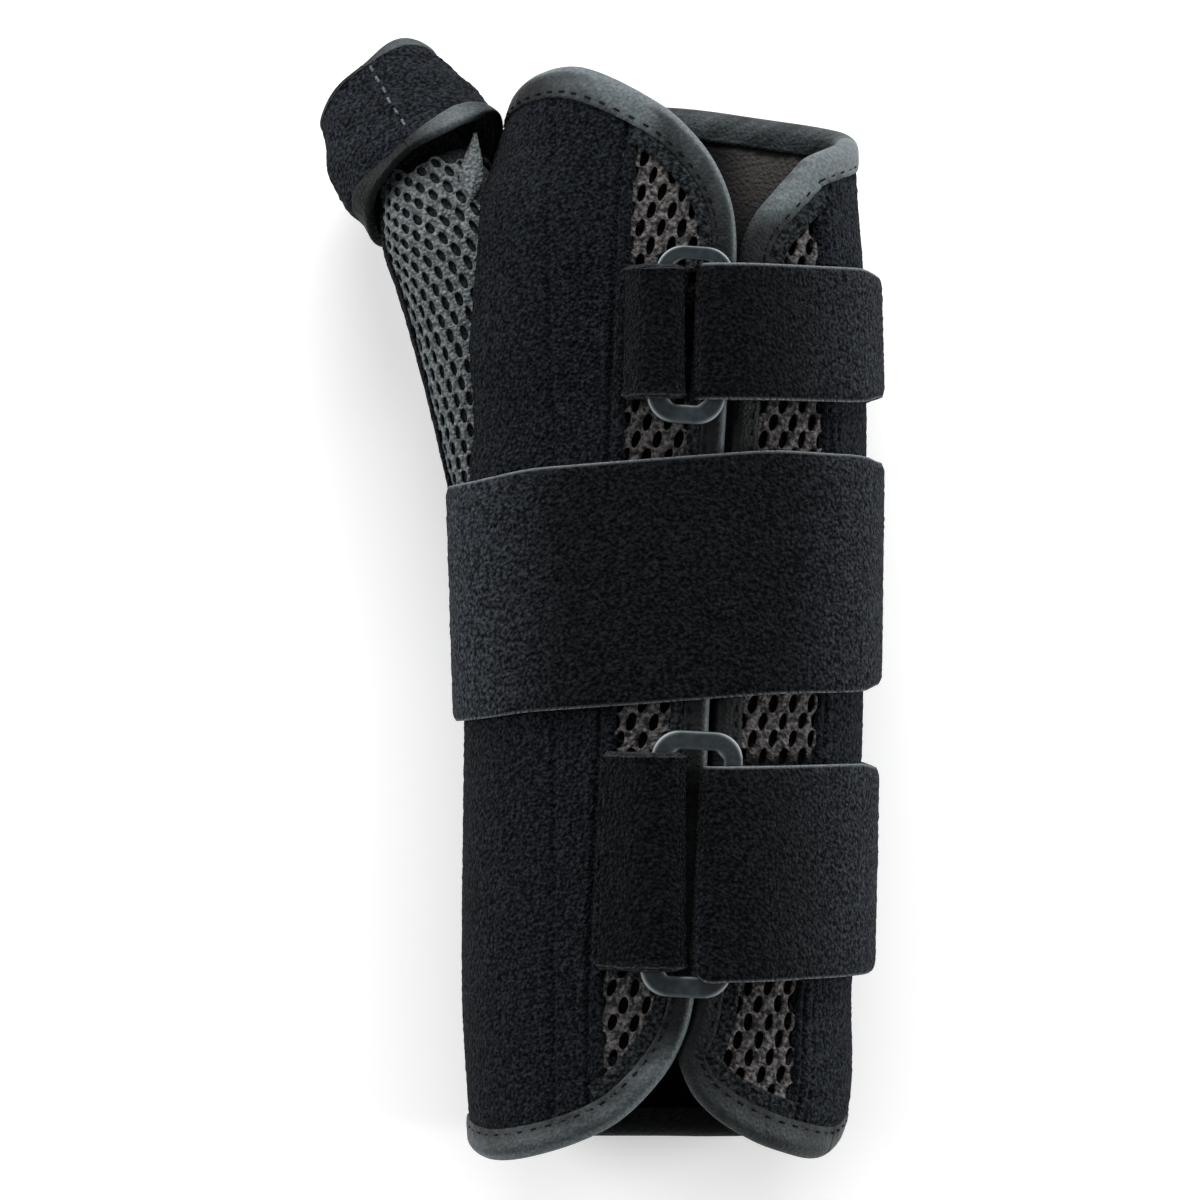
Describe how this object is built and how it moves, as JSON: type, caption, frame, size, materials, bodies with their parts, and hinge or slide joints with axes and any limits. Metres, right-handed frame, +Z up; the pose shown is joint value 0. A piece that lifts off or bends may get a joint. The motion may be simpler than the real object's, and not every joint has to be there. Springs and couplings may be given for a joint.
{
  "type": "wrist brace with thumb cuff",
  "caption": "Soft wrist brace with a thumb cuff: pile cloth sleeve with mesh strips and bound edges, closed by straps through plastic loops.",
  "frame": {"origin": "bottom centre of the bounding box, on the floor the brace lies on", "axes": "+Z up, the way the closure faces; +Y from the forearm end to the finger end; +X away from the thumb"},
  "size_m": [0.1092, 0.2106, 0.063],
  "materials": {
    "pile_cloth": "matt looped pile",
    "spacer_mesh": "matt knitted mesh",
    "thumb_mesh": "matt knitted mesh",
    "lining_cloth": "matt brushed cloth",
    "satin_tape": "soft satin",
    "strap_cloth": "matt looped pile",
    "loop_plastic": "satin moulded"
  },
  "bodies": {
    "root": {"left_panel": "pile_cloth", "back_panel": "pile_cloth", "thumb_back": "pile_cloth", "thumb_cuff": "pile_cloth", "left_mesh": "spacer_mesh", "right_mesh": "spacer_mesh", "thumb_mesh": "thumb_mesh", "lining": "lining_cloth", "left_binding": "satin_tape", "right_binding": "satin_tape", "back_top_binding": "satin_tape", "back_bottom_binding": "satin_tape", "cuff_lower_binding": "satin_tape", "cuff_top_binding": "satin_tape", "upper_chafe": "strap_cloth", "lower_chafe": "strap_cloth", "upper_strap": "strap_cloth", "lower_strap": "strap_cloth", "middle_strap": "strap_cloth", "upper_ring": "loop_plastic", "lower_ring": "loop_plastic"}
  },
  "joints": []
}
